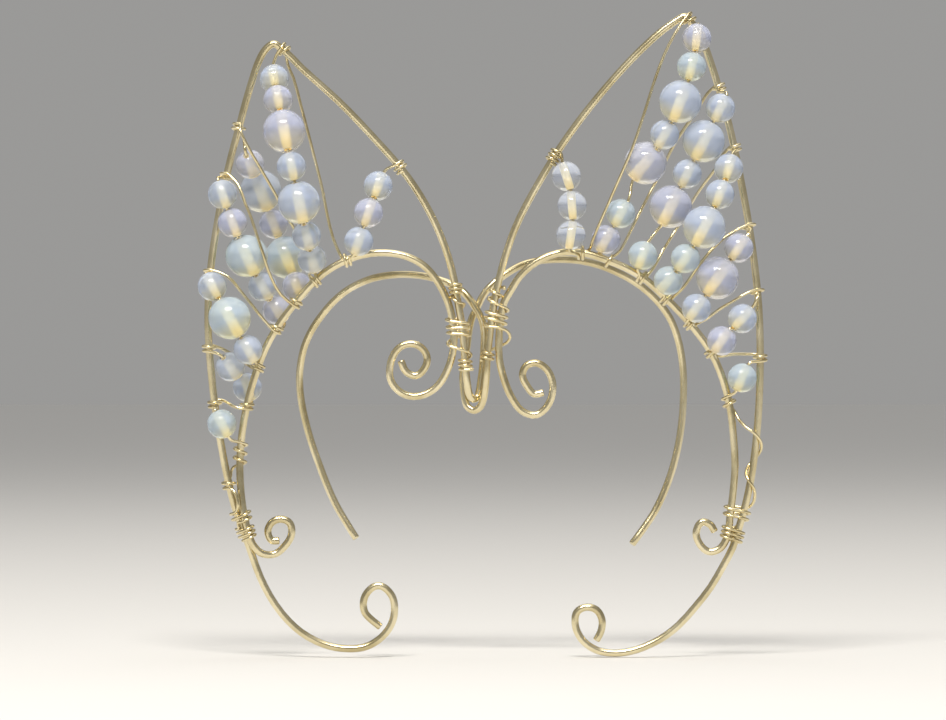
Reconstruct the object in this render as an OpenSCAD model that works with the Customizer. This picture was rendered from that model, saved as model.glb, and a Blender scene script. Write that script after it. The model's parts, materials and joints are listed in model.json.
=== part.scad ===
// A pair of wire-wrapped fairy ear cuffs with glass bead wings, hung crossed over each other.
// X runs to the right across the pair, Y to the back and Z up, in millimetres.
// The origin is where the two ear hooks cross, the point that the pair hangs by.

/* [Wire] */
// Thickness of the two shaping wires of each cuff (18 gauge)
heavy_d = 1.0; // [0.9:0.05:1.05]
// Thickness of the bead wire and of the binding wire (26 gauge)
thin_d = 0.4; // [0.3:0.05:0.4]
// Distance from one turn of a wrap to the next
wrap_pitch = 0.6; // [0.56:0.02:0.66]
// Air between a shaping wire and the thin wire that is wound round it
wrap_gap = 0.12; // [0.1:0.01:0.16]

/* [Beads] */
// Diameter of the small beads
small_d = 4.0; // [3.7:0.05:4.05]
// Diameter of the large beads
large_d = 5.8; // [5.4:0.05:5.85]
// Hole through a small bead
small_bore = 0.8; // [0.8:0.05:1.2]
// Hole through a large bead
large_bore = 1.0; // [0.9:0.05:1.4]
// Air between one bead and the next on its wire
bead_gap = 0.06; // [0.04:0.01:0.12]

/* [Hidden] */
heavy_sides = 10;
thin_sides = 6;
wrap_r = (heavy_d + thin_d) / 2 + wrap_gap;
wire_colour = [0.80, 0.75, 0.60];
bead_colour = [0.74, 0.82, 0.88, 0.75];
tip_pitch = wrap_pitch + 0.1;
pair_r = wrap_r + 0.05;

// ---- Routes of the shaping wires, from the lower end to the centre of the pair ----

// Each route point is [x, z] in the wing's own plane, or [x, z, y] where the wire leaves it.
LEFT_FRAME = [
    [-12.9, -43.2], [-14, -42.3], [-14.9, -41.3], [-15.1, -39.9], [-14.5, -38.5], [-13.2, -37.7],
    [-11.3, -39], [-10.9, -40.6], [-11.3, -42.8], [-12.6, -44.6], [-14.7, -45.9], [-17.3, -46.2],
    [-20.5, -45.6], [-23.5, -44], [-26, -41.6], [-29.1, -36.4], [-30.6, -32.2], [-32.5, -26.9],
    [-34.4, -18.1], [-35.6, -9.5], [-36.1, -1], [-35.7, 5.5], [-34.8, 11.5], [-33.4, 18.5],
    [-31.7, 25], [-30, 31], [-28.9, 33.9], [-28.1, 35], [-27.2, 35.5], [-26.2, 34.9],
    [-23.5, 32.3], [-18.5, 27.8], [-13.5, 22.6], [-9.1, 17.5], [-4.7, 9.7], [-3.2, 5.2],
    [-2.3, 0.4], [-1.75, -2.8], [-1.4, -6.8], [-1.2, -9.4], [-1.05, -10.6, 0.1],
    [-0.85, -11.7, 0.4], [-0.35, -12.45, 0.8], [0.15, -12.4, 1.2], [0.5, -11.6, 1.5],
    [0.7, -10.4, 1.7], [0.9, -9, 1.75], [1.15, -6, 1.8], [1.2, -3.2, 1.8],
    [0.85, -1.6, 1.8], [0.15, -0.3, 1.9], [-0.8, 1.1, 2.1], [-1.7, 2.1, 2.4], [-4, 3.4, 3.4],
    [-6.3, 4.1, 4.6], [-10, 4.5, 7], [-14, 4, 9.4], [-18, 2.1, 11.4], [-21, -0.9, 12.6],
    [-23.4, -5, 13.4], [-24.2, -9.8, 13.8], [-23.4, -15.5, 13.8], [-21.5, -21.5, 13.4],
    [-19.2, -27, 12.6], [-16.4, -31.6, 11.6]
];
LEFT_ARC = [
    [-26.6, -31.6], [-27.4, -31.6], [-28, -30.6], [-27.6, -29.3], [-26.4, -28.7], [-25.1, -29.2],
    [-24.8, -30.6], [-25.7, -32.3], [-27.1, -33.4], [-28.8, -33.3, -0.5], [-30, -32.1, -0.9],
    [-30.8, -29.8, -1], [-31.4, -26.9, -0.7], [-31.8, -22], [-31.5, -17], [-29.9, -9.8],
    [-27.8, -4.5], [-24.5, 0.3], [-20.5, 4.5], [-16, 6.8], [-12.2, 7.3], [-9.6, 6.9],
    [-7, 5.6], [-4.95, 3.2], [-3.6, 0.4], [-2.95, -2.8], [-2.95, -5.6], [-3.8, -8.6], [-5.3, -10.9],
    [-7, -11.9], [-8.6, -12.1], [-10.3, -11.4], [-11.4, -9.9], [-11.5, -8], [-10.9, -6.3],
    [-9.9, -5.3], [-8.6, -5], [-7.2, -5.6], [-6.5, -6.9], [-6.9, -8.4], [-8, -9.3], [-9.3, -8.8],
    [-10, -7.4]
];
RIGHT_FRAME = [
    [16.4, -45], [17, -43.8], [17.1, -42.2], [16.4, -41], [15, -40.6], [13.8, -41.2], [13.5, -42.8],
    [14.3, -44.8], [16.2, -46.3], [18.8, -46.8], [21.9, -46.3], [25, -44.9], [27.5, -43],
    [29.6, -40.7], [31.8, -37.9], [33.5, -35], [34.8, -32.5], [35.7, -29.6], [36.5, -26.8],
    [37.3, -23], [38, -17.5], [38.5, -7], [38.3, 0], [37.5, 7.5], [36, 16.5], [34.3, 24.5],
    [32.3, 31.5], [30.9, 35.5], [29.2, 38.4], [28.3, 39.2], [27.4, 38.8], [25.5, 37.5],
    [22.9, 35.2], [17.4, 29.3], [12.5, 23], [8.6, 16.8], [5.3, 10.4], [3.6, 5.2], [2.65, 1],
    [2.2, -1.7], [1.9, -4.4], [1.6, -7], [1.5, -9], [1.35, -11, 0.2], [1.1, -12.5, 0.45],
    [0.6, -13.6, 0.75], [-0.15, -14, 1.1], [-0.95, -13.6, 1.35], [-1.4, -12.5, 1.6], [-1.6, -11, 1.8],
    [-1.7, -9.6, 1.9],
    [-1.5, -7.6, 2.1], [-1.1, -5.4, 2.4], [-0.8, -3, 2.8], [-0.4, -1.4, 3], [0.2, -0.2, 3.1],
    [0.8, 1.1, 3.2], [1.6, 2.3, 3.3], [3.9, 4.3, 3.8], [6.3, 5.7, 4.8], [10.2, 6.5, 7],
    [14.4, 6.4, 9.4], [19.4, 4.9, 11.6], [24, 2, 13], [26.8, -1.4, 13.6], [28.4, -6.4, 14],
    [28.7, -12, 14], [28.2, -17.6, 13.8], [26.9, -23, 13.4], [24.6, -28.2, 12.6], [21.6, -32.4, 11.6]
];
RIGHT_ARC = [
    [32.3, -30.3], [31.8, -29.5], [30.7, -29.1], [29.9, -30.2], [30.3, -32], [31.7, -33.1], [33, -32.7],
    [34, -31.2], [34.4, -28.6], [34.8, -25.4], [35.1, -21.4], [34.9, -17.5], [34, -11.6],
    [31.8, -6], [29.8, -3.2], [27.8, -0.9], [25.3, 1.6], [22.7, 3.9], [17.5, 6.4], [14.9, 7.2],
    [12.3, 7.4], [10.3, 7], [8.2, 6], [6.1, 4.2], [4.8, 2.2], [3.9, 0.6], [3.4, -1.7], [3.2, -4.4],
    [3.25, -7], [3.9, -9.8], [5, -12.4], [6.5, -14.2], [8.2, -14.6], [9.6, -13.6], [10.4, -11.8],
    [10.4, -10], [9.5, -8.3], [8.2, -7.6], [6.9, -8], [6.4, -9.1], [7, -10.7], [8.1, -11.8],
    [9.1, -11.6]
];

// ---- Strings of beads ----

// A run of beads is [first centre, last centre, sizes, bow]. The centres are [x, y, z]. The beads
// fill the run edge to edge, so a run that is longer than its span bows out, at an angle of bow
// degrees: 0 towards +X in the wing's plane, 90 to the front and -90 to the back. A single bead
// has the second point only for the direction of its hole.
LEFT_RUNS = [
    [[[-13.1, -0.9, 16.3], [-15.7, -1.9, 8.8], "sss", 90]],
    [[[-27.1, -1.2, 30.7], [-22, -1.9, 6.4], "ssLsLss", 90]],
    [[[-30.5, 1.1, 19.3], [-24.2, 2.5, 2.8], "sLsLs", -90]],
    [[[-34, -2.8, 15.1], [-26.9, 2.5, -0.4], "ssLss", 120]],
    [[[-35.4, -2.7, 2.7], [-30.6, -2.7, -5.8], "sLs", 90]],
    [[[-33.1, -0.3, -8.1], [-32.1, 1, -9.5], "s", 90], [[-30.9, 2.7, -10.9], [-30.3, 2.8, -12.7], "s", 90]],
    [[[-34.1, -2.7, -15.8], [-33.2, -2.6, -17.6], "s", 90]]
];
RIGHT_RUNS = [
    [[[12.3, -0.9, 17.6], [12.9, -1.6, 9.6], "sss", 0]],
    [[[29.8, -2.7, 36.1], [23, -0.6, 19.4], "ssLsL", 60], [[19.7, 0.2, 12.6], [17.7, 0.8, 9.1], "ss", 90]],
    [[[33, -2.7, 26.7], [26.4, -0.6, 13.5], "sLsL", 60], [[22.6, -0.9, 6.9], [21.9, -1.1, 5.1], "s", 90]],
    [[[34.1, -2.6, 18.6], [26, -2.3, 3.5], "ssLss", 70]],
    [[[35.5, -1.9, 7.9], [29.8, -2.2, -0.2], "sLs", 90]],
    [[[36, -1.6, -1.6], [34.7, -2, -3], "s", 90], [[33.2, -2.1, -4.6], [32.2, -1.9, -6], "s", 90]],
    [[[36, -1.2, -9.6], [35.3, -1.1, -11.2], "s", 90]]
];

// ---- Curves ----

function unit(v) = v / norm(v);
function spot(p) = [p[0], len(p) > 2 ? p[2] : 0, p[1]];
function route(points) = [for (p = points) spot(p)];

// Direction of the curve through points p at point i, weighted by the chords beside it
function heading(p, i) =
    let (last = len(p) - 1)
    let (before = i == 0 ? p[1] - p[0] : p[i] - p[i - 1])
    let (after = i == last ? p[last] - p[last - 1] : p[i + 1] - p[i])
    unit(unit(before) * norm(after) + unit(after) * norm(before));
function headings(p) = [for (i = [0 : len(p) - 1]) heading(p, i)];

function hermite(p0, p1, m0, m1, t) =
    p0 * (2 * t ^ 3 - 3 * t ^ 2 + 1) + m0 * (t ^ 3 - 2 * t ^ 2 + t)
    + p1 * (3 * t ^ 2 - 2 * t ^ 3) + m1 * (t ^ 3 - t ^ 2);

// The curve through points p at place u, where whole numbers are the points themselves
function at(p, u) =
    let (i = min(floor(u), len(p) - 2))
    let (chord = norm(p[i + 1] - p[i]))
    hermite(p[i], p[i + 1], heading(p, i) * chord, heading(p, i + 1) * chord, u - i);

function along(p, u) = unit(at(p, u + 0.02) - at(p, u - 0.02));
function speed(p, u) = norm(at(p, u + 0.05) - at(p, u - 0.05)) / 0.1;

// Place on the curve through p that is nearest to point q, by a coarse and a fine search
function nearest_of(p, q, places) =
    let (d = [for (u = places) norm(at(p, u) - q)])
    let (least = min(d))
    [for (i = [0 : len(d) - 1]) if (d[i] == least) places[i]][0];
function nearest(p, q) =
    let (u = nearest_of(p, q, [for (i = [1 : 4 * len(p) - 6]) i / 4]))
    nearest_of(p, q, [for (i = [-12 : 12]) u + i / 50]);

// The curve that leaves each point of p along its direction in dirs, as points close enough that
// no bend is over bend degrees
function smooth(p, dirs, longest, bend) = [
    for (i = [0 : len(p) - 2])
        let (way = p[i + 1] - p[i], chord = norm(way))
        let (a = dirs[i], b = dirs[i + 1], mean = unit(unit(a + b) + way / chord / 1000))
        let (turn = acos(min(1, a * b)) + 2 * acos(min(1, mean * way / chord)))
        let (n = max(1, ceil(chord / longest), ceil(turn / bend - 0.2)))
        for (k = [0 : n - 1]) hermite(p[i], p[i + 1], a * chord, b * chord, k / n),
    p[len(p) - 1]
];

// ---- Wraps ----

// Thin wire wound round a shaping wire r near point [x, z]. Angle 0 is the side away from the
// inside of the cuff, -90 the front and 90 the back. side is 1 on the left cuff and -1 on the right.
function wind(r, side, place, from, turns, pitch) =
    let (u0 = nearest(r, spot(place)))
    let (rate = abs(turns) * pitch / speed(r, u0))
    let (n = ceil(abs(turns) * 9))
    [for (k = [0 : n])
        let (u = u0 + (k / n - 0.5) * rate)
        let (t = along(r, u))
        let (out = unit(side * cross(t, [0, 1, 0])))
        let (a = from + 360 * turns * k / n)
        at(r, u) + wrap_r * (out * cos(a) + side * cross(out, t) * sin(a))];

// Thin wire wound round two shaping wires that lie side by side. Angle 0 is the side of wire b,
// 180 the side of wire a, and -90 the front.
function wind_pair(a, b, place, from, turns, pitch) =
    let (u0 = nearest(a, spot(place)))
    let (v0 = nearest(b, at(a, u0)))
    let (n = ceil(abs(turns) * 12))
    [for (k = [0 : n])
        let (reach = (k / n - 0.5) * abs(turns) * pitch)
        let (p = at(a, u0 + reach / speed(a, u0)))
        let (q = at(b, v0 + reach / speed(b, v0)))
        let (t = along(a, u0), across = unit(q - p), up = cross(t, across))
        let (back = up * sign(up[1]))
        let (w = from + 360 * turns * k / n)
        let (shift = norm(q - p) / 2 * max(-1, min(1, 2 * cos(w))))
        (p + q) / 2 + across * (shift + pair_r * cos(w)) + back * pair_r * sin(w)];

// ---- Bead centres ----

function bead_r(size) = (size == "L" ? large_d : small_d) / 2;
function total(v, n) = n <= 0 ? 0 : v[n - 1] + total(v, n - 1);

// One run's beads, each as [centre, direction of the hole, radius]. Where the beads need more
// length than the span, they lie on an arc whose half angle comes from the series of sin(x) / x;
// where they need less, the gaps widen.
function run_beads(run) =
    let (p = run[0], e = unit(run[1] - p), radii = [for (c = run[2]) bead_r(c)], n = len(radii))
    let (steps = [for (i = [0 : 1 : n - 2]) radii[i] + radii[i + 1] + bead_gap])
    let (need = total(steps, n - 1), span = norm(run[1] - p))
    n == 1 ? [[p, e, radii[0]]] :
    let (flat = unit(cross(e, [0, 1, 0])), right = flat * (flat[0] < 0 ? -1 : 1))
    let (square = unit(cross(e, right)), front = square * (square[1] > 0 ? -1 : 1))
    let (bow = right * cos(run[3]) + front * sin(run[3]))
    need <= span ? [for (i = [0 : n - 1]) [p + e * span * total(steps, i) / need, e, radii[i]]] :
    let (half = sqrt(10 - sqrt(100 - 120 * (1 - span / need))) * 180 / PI)
    let (r = need / (2 * half * PI / 180))
    [for (i = [0 : n - 1])
        let (w = total(steps, i) / r * 180 / PI - half)
        let (c = p + e * r * (sin(w) + sin(half)) + bow * r * (cos(w) - cos(half)))
        [c, e * cos(w) - bow * sin(w), radii[i]]];

function strand(runs) = [for (run = runs) each run_beads(run)];

// ---- The thin wires ----

left_frame = route(LEFT_FRAME);
left_arc = route(LEFT_ARC);
right_frame = route(RIGHT_FRAME);
right_arc = route(RIGHT_ARC);
left_strands = [for (runs = LEFT_RUNS) strand(runs)];
right_strands = [for (runs = RIGHT_RUNS) strand(runs)];

// The bead wire starts in a wrap on the front edge, zig-zags between the inner arc and the outer
// edge through its seven strands, and ends in tight wraps that bind the two shaping wires.
left_line = concat(
    wind(left_frame, 1, [-10.1, 18.8], 270, -2, -wrap_pitch),
    left_strands[0],
    wind(left_arc, 1, [-17.3, 6.2], -90, -1.5, -wrap_pitch),
    [[-19.2, 1, 9.2], [-20.6, 1.1, 15.5], [-22.6, 1.1, 23.5], [-24.6, 1, 31]],
    wind(left_frame, 1, [-25.9, 34.7], 90, -1.5, -tip_pitch),
    left_strands[1],
    wind(left_arc, 1, [-21.7, 3.5], -90, -1.5, -wrap_pitch),
    [[-22.8, 0.9, 7.2], [-25, -0.4, 11.5], [-28, -1.2, 17], [-30.6, -1.8, 21.5], [-31.7, -1.5, 23.9]],
    wind(left_frame, 1, [-32.3, 24.3], -90, 1.5, -wrap_pitch),
    left_strands[2],
    wind(left_arc, 1, [-24.4, 0.7], 90, 1.5, -wrap_pitch),
    [[-26.2, -1.6, 1.6], [-27.9, -3.1, 5], [-28.5, -3.4, 7], [-29.3, -3.2, 9.4], [-31, -2.3, 14]],
    wind(left_frame, 1, [-34, 17.8], -90, 1, -wrap_pitch),
    left_strands[3],
    [[-26.1, 2.1, -2.9]],
    wind(left_arc, 1, [-26.9, -3], 90, 1.5, -wrap_pitch),
    [[-28.5, -1.2, -1.8], [-31.3, -1.4, 1.7], [-33.6, -1.2, 4.2]],
    wind(left_frame, 1, [-36.1, 4.7], -90, 1, -wrap_pitch),
    left_strands[4],
    wind(left_arc, 1, [-29.4, -8.2], -90, -1.5, -wrap_pitch),
    [[-31.1, 1.4, -7.6], [-32.7, 1.7, -6.6], [-34.2, 1.3, -5.7]],
    wind(left_frame, 1, [-35.8, -5.5], 90, -1.5, -wrap_pitch),
    left_strands[5],
    [[-30.6, 1.8, -13.3]],
    wind(left_arc, 1, [-31.1, -13.3], 90, 1.5, -wrap_pitch),
    [[-32.2, -0.8, -13.6], [-33.4, 0.2, -13], [-34.4, 0.9, -12.6]],
    wind(left_frame, 1, [-35.5, -13.2], 90, -1.5, -wrap_pitch),
    left_strands[6],
    wind(left_arc, 1, [-31.8, -19.8], -90, -2.5, -1.2),
    [[-32.8, 1.2, -21.8]],
    wind(left_frame, 1, [-33.2, -24], 90, -1.5, -0.7),
    wind_pair(left_frame, left_arc, [-31.9, -28.4], 270, -2, -0.8),
    wind_pair(left_frame, left_arc, [-31.3, -30.6], 270, -3, -wrap_pitch)
);
right_line = concat(
    wind(right_frame, -1, [10.7, 20.2], 630, -3.1, -wrap_pitch),
    right_strands[0],
    wind(right_arc, -1, [14.4, 7.2], -130, -1.39, -wrap_pitch),
    [[15.5, 0.4, 7.8], [15.8, -0.6, 8.8], [16.6, -1.2, 10.8], [18, -1.7, 14], [20, -2.7, 18.6]],
    [[21.1, -2.9, 21.2], [23.4, -2.6, 28.1]],
    [[25.5, -1.6, 34]],
    wind(right_frame, -1, [28.9, 38.6], -90, 2, -tip_pitch),
    right_strands[1],
    wind(right_arc, -1, [18.1, 6.5], 90, 0.85, -wrap_pitch),
    [[19.6, 0.9, 7.6], [20.7, 1, 9.6], [22.3, 1.9, 12.8], [24.4, 2.8, 16.8], [27.2, 2.6, 22.4], [30.2, 1.7, 26.8]],
    wind(right_frame, -1, [32.8, 29.6], 90, -1.5, -wrap_pitch),
    right_strands[2],
    wind(right_arc, -1, [22.6, 3.9], -90, -1.5, -wrap_pitch),
    [[24.2, 0.9, 5.4], [25.4, 1.4, 7.6], [27.3, 2.6, 10.6], [30, 2.6, 15.2], [32.6, 1.6, 18.8]],
    wind(right_frame, -1, [35.1, 21.5], 90, -1.5, -wrap_pitch),
    right_strands[3],
    wind(right_arc, -1, [25.7, 0.9], -90, -1.5, -wrap_pitch),
    [[28.2, -0.4, 2.7], [30.1, -1.6, 5.5], [32, -2.2, 7.8], [33.6, -1.8, 9.3]],
    wind(right_frame, -1, [37, 10.8], -90, 1, -wrap_pitch),
    right_strands[4],
    wind(right_arc, -1, [28.9, -2.5], -130, -1.39, -wrap_pitch),
    [[31.3, -0.4, -1.6], [33, -1.2, -0.3], [34.9, -1.4, 0.8]],
    wind(right_frame, -1, [38.2, 2], -90, 1, -wrap_pitch),
    [[37.9, -1.3, 0.9]],
    right_strands[5],
    wind(right_arc, -1, [31.3, -6.5], -130, -1.39, -wrap_pitch),
    [[33.2, 0.5, -6.7], [35, 0.6, -6.4], [36.8, 0.8, -6.4]],
    wind(right_frame, -1, [38.5, -6.9], 90, -1.5, -wrap_pitch),
    right_strands[6],
    wind(right_arc, -1, [34, -12.9], -90, -1.5, -1),
    [[35.6, 0.2, -15.2], [36.6, -0.8, -16.3], [37.9, -1.1, -17.3]],
    wind(right_frame, -1, [37.5, -21.8], -30, 1, -7),
    wind_pair(right_frame, right_arc, [36.2, -28], 120, -2, -0.9),
    wind_pair(right_frame, right_arc, [35.3, -30.9], 90, -3, -wrap_pitch)
);

// The binding wire ties the arc's curl to the frame at the middle of the pair.
left_tie = concat(
    wind(left_frame, 1, [-2.7, 2.35], -180, 3, 0.55),
    [[-3, -0.65, 1.05], [-2.35, -0.9, 0.6], [-1.5, -0.2, 0.35], [-1.9, 0.85, -0.3]],
    wind_pair(left_frame, left_arc, [-1.85, -2.8], 90, -3, 0.78),
    wind_pair(left_frame, left_arc, [-1.5, -5.7], 30, -0.6, 2.6),
    wind(left_frame, 1, [-1.3, -7.75], 70, 2.5, 0.6),
    [[-0.7, -0.85, -8.5], [-0.3, -0.8, -8.45]]
);
right_tie = concat(
    [[3.95, -0.5, 2.4], [3.9, 0.35, 2.7]],
    wind(right_frame, -1, [2.8, 1.8], 90, -1, 1.1),
    wind_pair(right_frame, right_arc, [2.5, 0.35], 150, 0.8, 1.7),
    wind_pair(right_frame, right_arc, [2.25, -1.4], 110, 1.9, 0.75),
    [[1.2, 0.3, -2.4], [1.25, -0.5, -2.6], [2, -0.95, -2.7], [3.2, -1, -2.85], [4.3, -0.8, -3.3]],
    [[4.7, -0.2, -4.1]],
    [[4.2, 0.5, -4.9], [3.2, 0.85, -5.35]],
    wind(right_frame, -1, [1.6, -6.7], 90, -2.25, 0.6)
);

// Each stop of a thin wire as [point, direction]. A bead takes two stops, at the ends of its hole,
// and the direction is undef where the points beside the stop give it.
function stops(line) = [
    for (v = line)
        let (reach = is_list(v[0]) ? v[1] * (v[2] - 0.1) : undef)
        each is_list(v[0]) ? [[v[0] - reach, v[1]], [v[0] + reach, v[1]]] : [[v, undef]]
];
function laced(line) =
    let (s = stops(line), p = [for (v = s) v[0]])
    smooth(p, [for (i = [0 : len(s) - 1]) is_undef(s[i][1]) ? heading(p, i) : s[i][1]], 4.5, 42);

// ---- Solids ----

// Ring normals carried along the wire without twist
function carried(n, t) = unit(n - t * (n * t));
function side_of(t) = unit(cross(t, abs(t[1]) < 0.9 ? [0, 1, 0] : [1, 0, 0]));
function frames_of(t) = [
    for (i = 0, n = side_of(t[0]); i < len(t); i = i + 1, n = i < len(t) ? carried(n, t[i]) : n) [n, t[i]]
];

function ring(c, f, r, sides) =
    [for (k = [0 : sides - 1]) c + r * (f[0] * cos(360 * k / sides) + cross(f[1], f[0]) * sin(360 * k / sides))];

// A round wire of diameter d along points p, with its two ends slightly rounded
module wire(p, d, sides, colour) {
    f = frames_of(headings(p));
    last = len(p) - 1;
    rings = [
        ring(p[0] - f[0][1] * d * 0.15, f[0], d * 0.36, sides),
        for (i = [0 : last]) ring(p[i], f[i], d / 2, sides),
        ring(p[last] + f[last][1] * d * 0.15, f[last], d * 0.36, sides)
    ];
    n = len(rings);
    faces = concat(
        [[for (k = [0 : sides - 1]) k]],
        [for (i = [0 : n - 2]) for (k = [0 : sides - 1])
            let (a = i * sides, b = a + sides, j = (k + 1) % sides)
            each [[a + k, b + k, b + j], [a + k, b + j, a + j]]],
        [[for (k = [sides - 1 : -1 : 0]) (n - 1) * sides + k]]
    );
    color(colour) polyhedron([for (r = rings) each r], faces, convexity = 20);
}

module heavy_wire(p) wire(smooth(p, headings(p), 5, 15), heavy_d, heavy_sides, wire_colour);
module thin_wire(line) wire(laced(line), thin_d, thin_sides, wire_colour);

module left_frame_wire() heavy_wire(left_frame);
module left_arc_wire() heavy_wire(left_arc);
module left_bead_wire() thin_wire(left_line);
module left_tie_wire() thin_wire(left_tie);
module right_frame_wire() heavy_wire(right_frame);
module right_arc_wire() heavy_wire(right_arc);
module right_bead_wire() thin_wire(right_line);
module right_tie_wire() thin_wire(right_tie);

// A round bead with its hole, centred at c with the hole along axis
module bead(c, axis, r) {
    bore = r > small_d / 2 ? large_bore : small_bore;
    color(bead_colour) translate(c)
        rotate([0, acos(axis[2]), atan2(axis[1], axis[0])])
            difference() {
                sphere(r = r, $fn = 48);
                cylinder(h = 2 * r + 1, d = bore, center = true, $fn = 32);
            }
}

// Every bead as [name, centre, direction, radius]
function named(cuff, strands) = [
    for (s = [0 : len(strands) - 1])
        for (b = [0 : len(strands[s]) - 1])
            concat([str(cuff, "_strand", s + 1, "_bead", b + 1)], strands[s][b])
];
BEADS = concat(named("left", left_strands), named("right", right_strands));

left_frame_wire();
left_arc_wire();
left_bead_wire();
left_tie_wire();
right_frame_wire();
right_arc_wire();
right_bead_wire();
right_tie_wire();
for (b = BEADS) bead(b[1], b[2], b[3]);
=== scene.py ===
import json
import math
import random
from collections import namedtuple

import bmesh
import bpy
from mathutils import Matrix, Vector


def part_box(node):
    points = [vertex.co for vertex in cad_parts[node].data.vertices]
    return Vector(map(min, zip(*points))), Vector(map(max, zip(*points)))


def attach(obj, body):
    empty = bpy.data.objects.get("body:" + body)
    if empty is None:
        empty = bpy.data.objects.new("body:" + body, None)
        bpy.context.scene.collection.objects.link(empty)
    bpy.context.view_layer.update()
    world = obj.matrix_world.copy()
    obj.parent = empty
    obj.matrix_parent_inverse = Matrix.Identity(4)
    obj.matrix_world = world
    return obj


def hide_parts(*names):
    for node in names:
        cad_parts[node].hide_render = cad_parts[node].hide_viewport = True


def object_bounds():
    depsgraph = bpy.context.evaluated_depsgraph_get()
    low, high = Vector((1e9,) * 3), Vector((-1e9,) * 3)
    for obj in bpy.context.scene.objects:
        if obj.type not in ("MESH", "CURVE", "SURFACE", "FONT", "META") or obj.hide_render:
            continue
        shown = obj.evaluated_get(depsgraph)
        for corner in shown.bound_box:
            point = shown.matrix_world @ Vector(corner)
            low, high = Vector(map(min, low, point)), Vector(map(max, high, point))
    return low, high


MM = 0.001
SAME_PLACE = 0.0001 * MM  # corners closer than this are one corner
FLAT = math.radians(0.1)  # faces at a smaller angle than this are one flat face

# A kind of wire: its diameter, the corners of its section in the CAD model, the sides of its
# section here, and the largest turn between two of its rings here, in degrees.
Wire = namedtuple("Wire", "d corners sides bend")
HEAVY = Wire(d=1.0 * MM, corners=10, sides=28, bend=6)  # shaping wire
THIN = Wire(d=0.4 * MM, corners=6, sides=14, bend=14)  # bead wire and binding wire
LONGEST_STEP = 2 * MM  # between two rings of a wire
STRAIGHTEN = 1.5  # how far a bend reaches into a step, in lengths of the step on its other side
EDGE = 0.15  # length of the round edge at a wire's end, in diameters
EDGE_RINGS = ((0, 0), (0, 0.30), (0.12, 0.40), (0.45, 0.47))  # (share of EDGE, radius in diameters)

SMALL_R = 2.0 * MM
LARGE_R = 2.9 * MM
SMALL_BORE_R = 0.4 * MM
LARGE_BORE_R = 0.5 * MM
BEAD_SEGMENTS = 56
BEAD_RINGS = 26
MOUTH = 0.16 * MM  # width of the rounding at each mouth of a bead's hole
MOUTH_DEPTH = 0.8 * MOUTH
MOUTH_STEPS = 3
WALL_STEPS = 8  # along the wall of the hole, between its roundings
SQUEEZE = 0.012  # how much narrower a bead is one way than the other, as a share of its width

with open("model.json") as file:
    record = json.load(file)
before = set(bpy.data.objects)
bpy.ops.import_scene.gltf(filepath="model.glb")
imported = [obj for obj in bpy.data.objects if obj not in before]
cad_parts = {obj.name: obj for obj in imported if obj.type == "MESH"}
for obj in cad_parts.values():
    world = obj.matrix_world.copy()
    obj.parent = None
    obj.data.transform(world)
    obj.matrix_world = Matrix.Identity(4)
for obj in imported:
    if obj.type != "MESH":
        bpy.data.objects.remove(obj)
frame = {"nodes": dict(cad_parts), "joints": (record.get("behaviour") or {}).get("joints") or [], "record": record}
cad_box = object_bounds()
slots = {part["node"]: part["material_slot"] for part in frame["record"]["subparts"]}


# ---- Meshes ----

def make_object(name, verts, faces, uvs=None):
    """A smooth shaded mesh object. uvs holds one list of (u, v) for each face."""
    mesh = bpy.data.meshes.new(name)
    mesh.from_pydata(verts, [], faces)
    if uvs:
        layer = mesh.uv_layers.new(name="wire")
        flat = [c for face in uvs for uv in face for c in uv]
        layer.data.foreach_set("uv", flat)
    mesh.shade_smooth()
    mesh.validate()
    obj = bpy.data.objects.new(name, mesh)
    bpy.context.scene.collection.objects.link(obj)
    return obj


def round_face(face):
    """True for a regular polygon, as the flat end of a wire is."""
    middle = face.calc_center_median()
    reach = [(v.co - middle).length for v in face.verts]
    return max(reach) < 1.02 * min(reach)


def centre_line(node, corners):
    """The middle of each ring of corners along a CAD wire, walked from one flat end to the other."""
    bm = bmesh.new()
    bm.from_mesh(frame["nodes"][node].data)
    bmesh.ops.remove_doubles(bm, verts=bm.verts, dist=SAME_PLACE)
    joined = bm.copy()
    bmesh.ops.dissolve_limit(joined, angle_limit=FLAT, verts=joined.verts, edges=joined.edges)
    ends = [f for f in joined.faces if len(f.verts) == corners and round_face(f)]
    start = [v.co.copy() for v in ends[0].verts]
    ring = {v for v in bm.verts if min((v.co - c).length for c in start) < SAME_PLACE}
    seen, line = set(), []
    while ring:
        # fsum is exact, so the order that the set holds the corners in makes no difference.
        line.append(Vector([math.fsum(c) / len(ring) for c in zip(*(v.co for v in ring))]))
        seen |= ring
        ring = {e.other_vert(v) for v in ring for e in v.link_edges} - seen
    joined.free()
    bm.free()
    return line


def headings(points):
    """The direction of the line at each point, weighted by the lengths of the chords beside it."""
    found = []
    for i, p in enumerate(points):
        before = p - points[i - 1] if i else points[1] - p
        after = points[i + 1] - p if i < len(points) - 1 else before
        way = before.normalized() * after.length + after.normalized() * before.length
        found.append(way.normalized())
    return found


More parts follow.
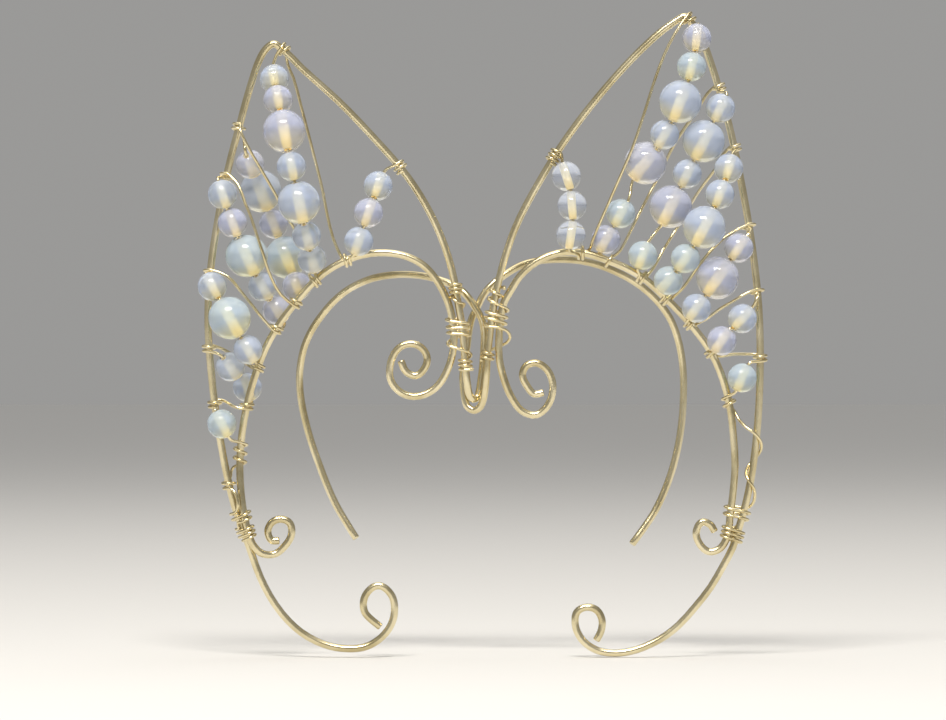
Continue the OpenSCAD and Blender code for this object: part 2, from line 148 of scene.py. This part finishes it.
def smoothed(points, bend):
    """A smooth curve through points, in short steps that turn by about bend degrees at most."""
    ways, line = headings(points), []
    chords = [(q - p).length for p, q in zip(points, points[1:])]
    for i, chord in enumerate(chords):
        p, q = points[i], points[i + 1]
        swing = (ways[i] + ways[i + 1]).angle(q - p, 0)
        turn = math.degrees(ways[i].angle(ways[i + 1]) + 2 * swing)
        n = max(1, math.ceil(chord / LONGEST_STEP), math.ceil(turn / bend))
        # A long straight piece beside a short step, as inside a bead, stays straight.
        leave = ways[i] * min(chord, STRAIGHTEN * chords[max(i - 1, 0)])
        arrive = ways[i + 1] * min(chord, STRAIGHTEN * chords[min(i + 1, len(chords) - 1)])
        for k in range(n):
            t = k / n
            line.append(p * (2 * t**3 - 3 * t**2 + 1) + leave * (t**3 - 2 * t**2 + t)
                        + q * (3 * t**2 - 2 * t**3) + arrive * (t**3 - t**2))
    return line + [points[-1]]


def tube(name, line, wire):
    """A round wire along line, with snipped ends that have a small round edge."""
    ways = headings(line)
    edge = EDGE * wire.d
    sections = [(line[0], ways[0], -edge * (1 - s), r) for s, r in EDGE_RINGS]
    sections += [(p, way, 0, 0.5) for p, way in zip(line, ways)]
    sections += [(line[-1], ways[-1], edge * (1 - s), r) for s, r in reversed(EDGE_RINGS)]
    middles = [p + way * shift for p, way, shift, r in sections]
    lengths = [0]
    for p, q in zip(middles, middles[1:]):
        lengths.append(lengths[-1] + (q - p).length / MM)
    across = ways[0].orthogonal().normalized()
    verts, faces, uvs = [], [], []
    for middle, (p, way, shift, r) in zip(middles, sections):
        across = (across - way * across.dot(way)).normalized()
        up = way.cross(across)
        for k in range(wire.sides):
            a = 2 * math.pi * k / wire.sides
            verts.append(middle + (across * math.cos(a) + up * math.sin(a)) * r * wire.d)
    for i in range(len(sections) - 1):
        row, above = i * wire.sides, (i + 1) * wire.sides
        for k in range(wire.sides):
            j = (k + 1) % wire.sides
            faces.append((row + k, row + j, above + j, above + k))
            lo, hi = k / wire.sides, (k + 1) / wire.sides
            uvs.append([(lo, lengths[i]), (hi, lengths[i]), (hi, lengths[i + 1]), (lo, lengths[i + 1])])
    obj = make_object(name, verts, faces, uvs)
    # The ring of no radius at each end becomes one corner.
    bm = bmesh.new()
    bm.from_mesh(obj.data)
    bmesh.ops.remove_doubles(bm, verts=bm.verts, dist=SAME_PLACE)
    bmesh.ops.recalc_face_normals(bm, faces=bm.faces)
    bm.to_mesh(obj.data)
    bm.free()
    return obj


def bead_profile(r, bore):
    """A bead's outside, down from its upper mouth, and its hole, back up, as (radius, height)."""
    first = math.asin((bore + MOUTH) / r)
    angles = [first + (math.pi - 2 * first) * k / BEAD_RINGS for k in range(BEAD_RINGS + 1)]
    outside = [(r * math.sin(a), r * math.cos(a)) for a in angles]
    top = r * math.cos(first)
    angles = [math.pi / 2 * k / MOUTH_STEPS for k in range(1, MOUTH_STEPS + 1)]
    mouth = [(bore + MOUTH * (1 - math.sin(a)), top - MOUTH_DEPTH * (1 - math.cos(a))) for a in angles]
    end = top - MOUTH_DEPTH
    wall = [(bore, end * (2 * k / WALL_STEPS - 1)) for k in range(1, WALL_STEPS)]
    return outside, [(x, -z) for x, z in mouth] + wall + mouth[::-1]


def bead(name, centre, axis, r, wander):
    """A glass bead turned about its hole. wander gives it the slight squeeze of a tumbled bead."""
    bore = LARGE_BORE_R if r > (SMALL_R + LARGE_R) / 2 else SMALL_BORE_R
    outside, hole = bead_profile(r, bore)
    rows = outside + hole
    verts, faces = [], []
    phase = wander.uniform(0, 2 * math.pi)
    for x, z in rows:
        fade = min(1, (x - bore) / bore)  # the hole stays round
        for k in range(BEAD_SEGMENTS):
            a = 2 * math.pi * k / BEAD_SEGMENTS
            reach = x * (1 - SQUEEZE * fade * (1 + math.sin(2 * a + phase)) / 2)
            verts.append((reach * math.cos(a), reach * math.sin(a), z))
    n = len(rows)
    for i in range(n):
        row, below = i * BEAD_SEGMENTS, (i + 1) % n * BEAD_SEGMENTS
        for k in range(BEAD_SEGMENTS):
            j = (k + 1) % BEAD_SEGMENTS
            faces.append((row + k, below + k, below + j, row + j))
    obj = make_object(name, verts, faces)
    # The roundings at the mouths are polished like the outside; the wall between them is frosted.
    wall = range(len(outside) + MOUTH_STEPS - 1, n - MOUTH_STEPS)
    for face in obj.data.polygons:
        face.material_index = 1 if face.index // BEAD_SEGMENTS in wall else 0
    turn = Vector((0, 0, 1)).rotation_difference(Vector(axis)).to_matrix().to_4x4()
    obj.matrix_world = Matrix.Translation(centre) @ turn
    return obj


# ---- Materials ----

class Nodes:
    """Short calls for building one material's nodes."""

    def __init__(self, name):
        self.material = bpy.data.materials.new(name)
        self.material.use_nodes = True
        self.tree = self.material.node_tree

    def feed(self, node, inputs):
        """Gives a node's inputs, named with _ for a space, a value or another node's socket."""
        for name, value in inputs.items():
            target = node.inputs[name.replace("_", " ")]
            if isinstance(value, bpy.types.NodeSocket):
                self.tree.links.new(value, target)
            else:
                target.default_value = value

    def add(self, kind, **inputs):
        node = self.tree.nodes.new("ShaderNode" + kind)
        self.feed(node, inputs)
        return node

    def surface(self, **inputs):
        self.feed(self.tree.nodes["Principled BSDF"], inputs)

    def noise(self, vector, scale, detail, roughness=0.5):
        node = self.add("TexNoise", Vector=vector, Scale=scale, Detail=detail, Roughness=roughness)
        return node.outputs["Fac"]

    def ramp(self, fac, stops):
        node = self.add("ValToRGB", Fac=fac)
        while len(node.color_ramp.elements) < len(stops):
            node.color_ramp.elements.new(0.5)
        for element, (place, colour) in zip(node.color_ramp.elements, stops):
            element.position = place
            element.color = (*colour, 1)
        return node.outputs["Color"]

    def mix(self, share, first, second):
        """first with a share of second mixed in. share is a number or a socket."""
        return self.add("MixRGB", Fac=share, Color1=first, Color2=second).outputs["Color"]

    def bump(self, height, strength, distance):
        node = self.add("Bump", Height=height, Strength=strength, Distance=distance)
        return node.outputs["Normal"]


def wire_material(name, pale, mid, dark):
    """Satin craft wire: faint die lines along it, tarnish in patches and small handling dents."""
    m = Nodes(name)
    place = m.add("TexCoord").outputs
    stretch = m.add("Mapping", Vector=place["UV"], Scale=(16, 0.30, 1))
    lines = m.noise(stretch.outputs["Vector"], 1.0, 0.0)
    satin = m.add("MapRange", Value=lines, From_Min=0.3, From_Max=0.7, To_Min=0.21, To_Max=0.25)
    patches = m.noise(place["Object"], 160, 3.0, 0.6)
    dents = m.noise(place["Object"], 320, 1.0)
    m.surface(Metallic=1.0, Roughness=satin.outputs["Result"],
              Base_Color=m.ramp(patches, [(0.30, dark), (0.50, mid), (0.72, pale)]),
              Normal=m.bump(dents, 0.06, 0.05 * MM))
    return m.material


def down_the_hole(m, place, stir):
    """From 0 at a bead's upper end to 1 at its lower end, stirred a little by a noise.
    Every bead's own Z runs down its hole."""
    # This gradient places the painted glow of the opal and of the hole.
    z = m.add("SeparateXYZ", Vector=place["Object"]).outputs["Z"]
    down = m.add("MapRange", Value=z, From_Min=-SMALL_R, From_Max=SMALL_R).outputs["Result"]
    return m.mix(0.12, down, stir)


def opal_material(name, sky, body, painted_glow_colour, transmission, roughness):
    """Opal glass: milky and pale blue with faint clouds, with a painted warm glow round the hole's lower mouth
    that stands in for light come through the glass.
    """
    m = Nodes(name)
    place = m.add("TexCoord").outputs
    clouds = m.noise(place["Object"], 420, 3.0, 0.55)
    milk = m.ramp(clouds, [(0.30, body), (0.70, sky)])
    # Painted glow: the lower end of the bead is tinted warm, for light that has passed through the opal.
    painted_glow_share = m.ramp(down_the_hole(m, place, clouds), [(0.55, (0, 0, 0)), (0.95, (1, 1, 1))])
    pits = m.noise(place["Object"], 1500, 2.0)
    m.surface(Roughness=roughness, IOR=1.45, Transmission_Weight=transmission,
              Base_Color=m.mix(painted_glow_share, milk, (*painted_glow_colour, 1)), Normal=m.bump(pits, 0.04, 0.02 * MM))
    return m.material


def hole_material():
    """The ground wall of a bead's hole: frosted, with a painted glow: warm colour, strongest at the lower end and
    also given out as emission, stands in for light that has come through the opal.
    """
    m = Nodes("bead_hole_painted_glow")
    place = m.add("TexCoord").outputs
    grain = m.noise(place["Object"], 2600, 3.0, 0.6)
    # Painted glow: pale at the upper end, orange at the lower end, for light come through the opal.
    colour = m.ramp(down_the_hole(m, place, grain), [
        (0.10, (0.80, 0.78, 0.72)), (0.45, (0.97, 0.85, 0.52)), (0.95, (1.0, 0.78, 0.34))])
    # The emission makes the hole glow as if lit through the opal: a painted glow, not a lamp.
    m.surface(Roughness=0.6, IOR=1.45, Transmission_Weight=0.1, Base_Color=colour,
              Emission_Color=colour, Emission_Strength=0.30, Normal=m.bump(grain, 0.3, 0.01 * MM))
    return m.material


def floor_material():
    m = Nodes("floor")
    m.surface(Roughness=0.85, Base_Color=(0.74, 0.73, 0.71, 1))
    return m.material


SHAPING = wire_material("shaping_wire", (0.90, 0.81, 0.57), (0.76, 0.67, 0.43), (0.57, 0.48, 0.27))
FINE = wire_material("fine_wire", (0.91, 0.81, 0.55), (0.77, 0.67, 0.41), (0.57, 0.47, 0.26))
OPALS = [
    opal_material("opal_blue", (0.58, 0.68, 0.90), (0.66, 0.74, 0.90), (0.93, 0.87, 0.60), 0.64, 0.05),
    opal_material("opal_lilac", (0.61, 0.66, 0.89), (0.68, 0.72, 0.88), (0.93, 0.86, 0.64), 0.68, 0.05),
    opal_material("opal_green", (0.58, 0.70, 0.86), (0.66, 0.77, 0.84), (0.94, 0.89, 0.56), 0.60, 0.05),
]
OPAL_SHARES = (5, 3, 2)
CLEAR = opal_material("opal_clear", (0.68, 0.75, 0.91), (0.75, 0.80, 0.91), (0.93, 0.88, 0.68), 0.80, 0.03)
HOLE = hole_material()


# ---- The pair ----

for joint in frame["joints"]:
    if joint["type"] == "slide":
        continue
    name = joint["child"]
    lo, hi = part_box(name)
    wander = random.Random(name)
    piece = bead(name + "_glass", joint["pos_m"], joint["axis"], max(hi - lo) / 2, wander)
    clear = slots[name] == "clear_beads"
    piece.data.materials.append(CLEAR if clear else wander.choices(OPALS, OPAL_SHARES)[0])
    piece.data.materials.append(HOLE)
    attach(piece, name)
    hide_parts(name)

for side in ("left", "right"):
    for part in ("frame_wire", "arc_wire", "bead_wire", "tie_wire"):
        node = side + "_" + part
        heavy = part in ("frame_wire", "arc_wire")
        wire = HEAVY if heavy else THIN
        # The CAD wire's first and last rings are its end faces, and tube adds finer ends.
        line = centre_line(node, wire.corners)[1:-1]
        piece = tube(node + "_metal", smoothed(line, wire.bend), wire)
        piece.data.materials.append(SHAPING if heavy else FINE)
        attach(piece, side + "_cuff")
        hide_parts(node)


# ---- Studio ----

def area_light(name, place, size, power, colour):
    """A rectangular light that points at the origin."""
    data = bpy.data.lights.new(name, "AREA")
    data.shape = "RECTANGLE"
    data.size, data.size_y = size
    data.energy = power
    data.color = colour
    light = bpy.data.objects.new(name, data)
    light.location = place
    light.rotation_euler = (-Vector(place)).to_track_quat("-Z", "Y").to_euler()
    bpy.context.scene.collection.objects.link(light)


FLOOR_REACH = 4.0  # from its middle to each side
FLOOR_GAP = 0.1 * MM
floor_corners = [(x * FLOOR_REACH, y * FLOOR_REACH, 0) for x, y in ((-1, -1), (1, -1), (1, 1), (-1, 1))]
floor = make_object("floor", floor_corners, [(0, 1, 2, 3)])
floor.location.z = cad_box[0].z - FLOOR_GAP
floor.data.materials.append(floor_material())

area_light("key", (-0.08, -0.50, 0.64), (0.42, 0.14), 7.0, (1.0, 0.96, 0.90))
area_light("top", (0.0, 0.30, 0.75), (0.7, 0.7), 1.5, (1.0, 0.97, 0.92))
sky = bpy.data.lights.new("sky", "SUN")  # straight down
sky.energy = 0.36
sky.angle = math.radians(40)
bpy.context.scene.collection.objects.link(bpy.data.objects.new("sky", sky))

world = bpy.data.worlds.new("studio")
world.use_nodes = True
background = world.node_tree.nodes["Background"]
background.inputs["Color"].default_value = (0.90, 0.89, 0.87, 1)
background.inputs["Strength"].default_value = 0.36
bpy.context.scene.world = world

# The photograph looks level at the pair, with 128 mm across its width at the wings.
WIDTH = 127.8 * MM
DISTANCE = 700 * MM
AIM_X = -0.3 * MM
AIM_Z = -7.2 * MM
camera = bpy.data.cameras.new("camera")
camera.sensor_width = 36
camera.lens = camera.sensor_width * DISTANCE / WIDTH
camera.clip_start = 0.01
view = bpy.data.objects.new("camera", camera)
view.location = (AIM_X, -DISTANCE, AIM_Z)
view.rotation_euler = (math.pi / 2, 0, 0)
bpy.context.scene.collection.objects.link(view)
bpy.context.scene.camera = view
bpy.context.scene.view_settings.view_transform = "Standard"
